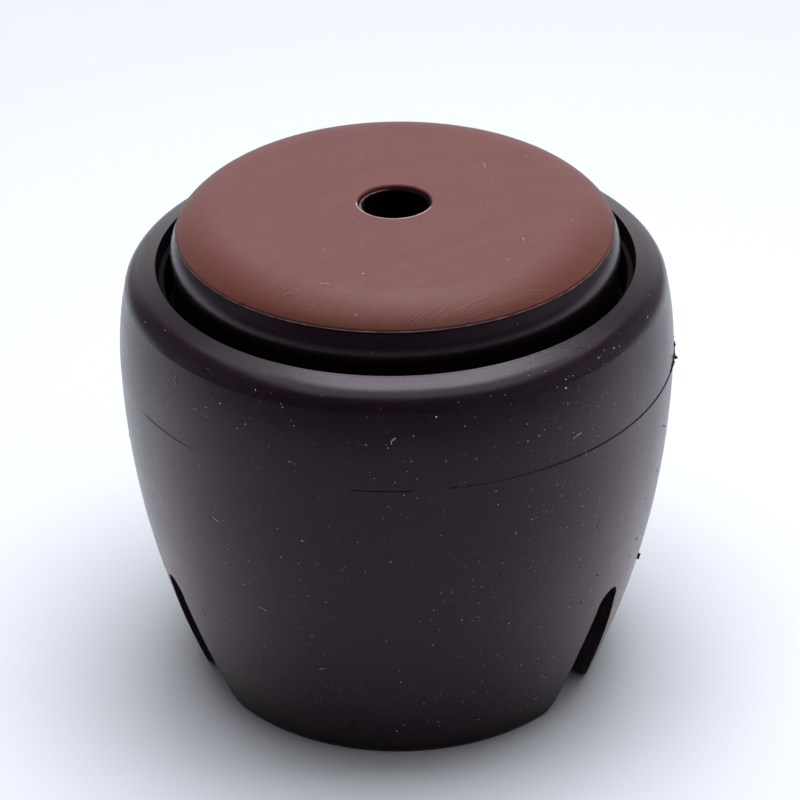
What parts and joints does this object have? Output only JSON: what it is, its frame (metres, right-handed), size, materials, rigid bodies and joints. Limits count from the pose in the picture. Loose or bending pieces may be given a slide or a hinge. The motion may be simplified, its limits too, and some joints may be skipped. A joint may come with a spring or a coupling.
{
  "type": "chair leg cap",
  "caption": "Barrel-shaped rubber cap that pushes onto a round chair leg, with a slotted flexible skirt and a hard round glide pad that meets the floor.",
  "frame": {"origin": "centre of the open mouth, on the axis of the leg socket, in the plane the cap stands on", "axes": "+Z along the leg axis from the mouth to the glide pad, -Y towards the front, with one skirt slot on the +Y side and the others 60 degrees either side of -Y"},
  "size_m": [0.044, 0.044, 0.0408],
  "materials": {
    "cap_rubber": "dark brown-black moulded rubber, satin",
    "pad_plastic": "red-brown hard plastic, finely brushed"
  },
  "bodies": {
    "root": {"cap_body": "cap_rubber", "glide_pad": "pad_plastic"}
  },
  "joints": []
}
